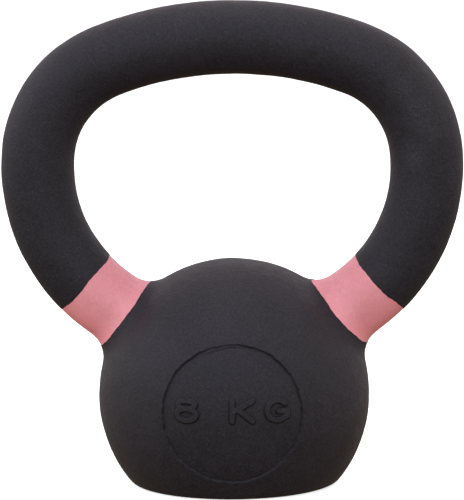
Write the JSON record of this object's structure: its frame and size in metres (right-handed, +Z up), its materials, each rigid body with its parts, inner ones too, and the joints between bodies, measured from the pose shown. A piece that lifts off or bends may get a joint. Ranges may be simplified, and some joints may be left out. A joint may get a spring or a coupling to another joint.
{
  "type": "kettlebell",
  "caption": "Cast-iron kettlebell with a flat-based ball, a wide arched handle, a black powder coat, painted colour bands on the horns and a raised weight mark in a round recess.",
  "frame": {"origin": "centre of the flat base, on the surface it stands on", "axes": "+Z up through the ball's centre to the handle; +X along the handle's grip towards the right horn; -Y towards the side with the roundel and weight mark"},
  "size_m": [0.2016, 0.1189, 0.212],
  "materials": {
    "iron": "as-cast grey iron under the coat",
    "black_coat": "baked black powder coat, matte with a fine grain",
    "pink_paint": "satin pink paint, softly mottled"
  },
  "bodies": {
    "root": {"iron_casting": "iron", "ball_powder_coat": "black_coat", "handle_powder_coat": "black_coat", "left_colour_band": "pink_paint", "right_colour_band": "pink_paint"}
  },
  "joints": []
}
